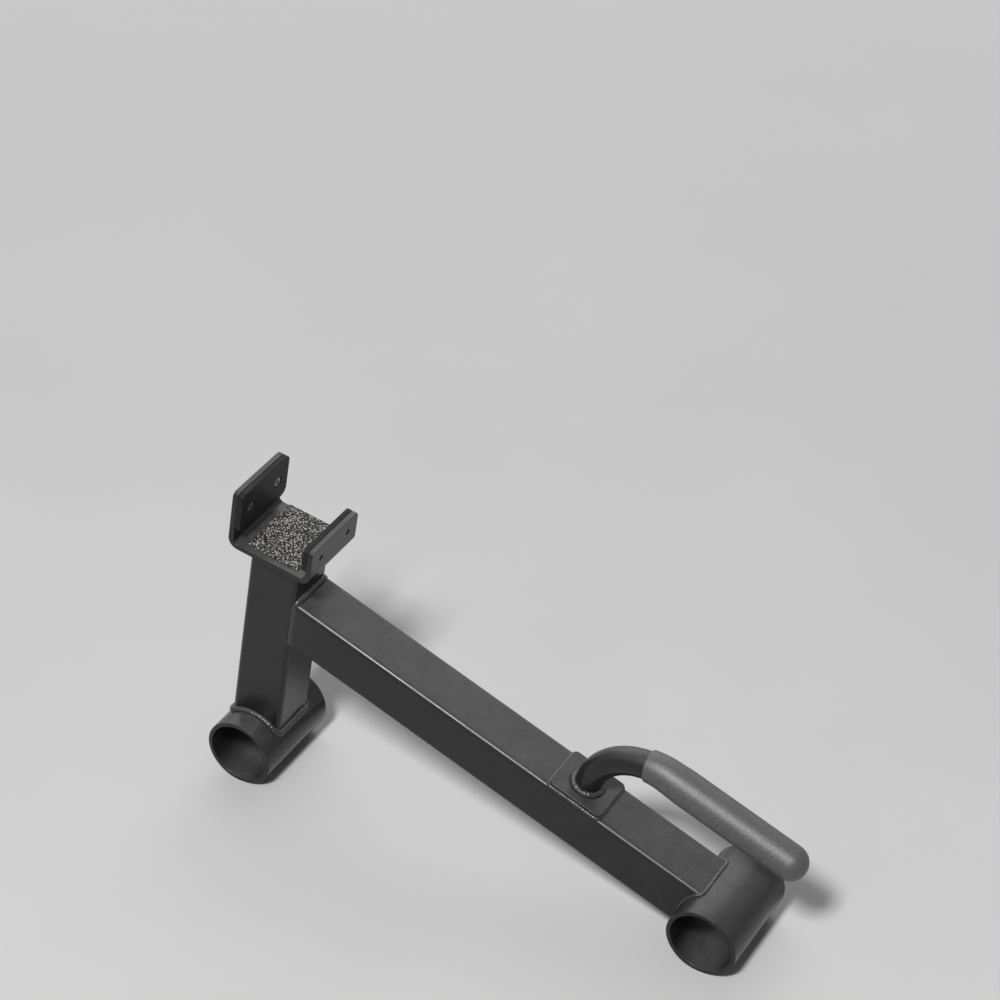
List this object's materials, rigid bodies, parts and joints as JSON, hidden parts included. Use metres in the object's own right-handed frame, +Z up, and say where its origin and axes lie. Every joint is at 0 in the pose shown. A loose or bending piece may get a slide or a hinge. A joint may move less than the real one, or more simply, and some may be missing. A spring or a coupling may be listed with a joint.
{
  "type": "deadlift jack",
  "caption": "Welded steel lever jack with a U-shaped bar cradle on a leaning post, round feet and a bent handle with a soft sleeve.",
  "frame": {"origin": "on the floor, below the middle of the jack's length and width", "axes": "+X from the front foot towards the rear foot and the handle, +Y along the bar, +Z up"},
  "size_m": [0.5732, 0.094, 0.3218],
  "materials": {
    "powder_coat": "satin black powder coat, fine texture",
    "pad": "smooth black plastic",
    "screw": "dark machined",
    "grit": "rough, speckled",
    "sleeve": "matte foam rubber"
  },
  "bodies": {
    "root": {"front_foot": "powder_coat", "rear_foot": "powder_coat", "post": "powder_coat", "arm": "powder_coat", "cradle_bracket": "powder_coat", "cradle_liner_tall": "pad", "cradle_liner_short": "pad", "liner_screw_tall_1": "screw", "liner_screw_tall_2": "screw", "liner_screw_short_1": "screw", "liner_screw_short_2": "screw", "seat_grip_strip": "grit", "handle_plate": "powder_coat", "handle_tube": "powder_coat", "handle_grip": "sleeve", "weld_post_foot": "powder_coat", "weld_arm_foot": "powder_coat", "weld_arm_post": "powder_coat", "weld_cradle_post": "powder_coat", "weld_handle_plate": "powder_coat", "weld_handle_tube": "powder_coat"}
  },
  "joints": []
}
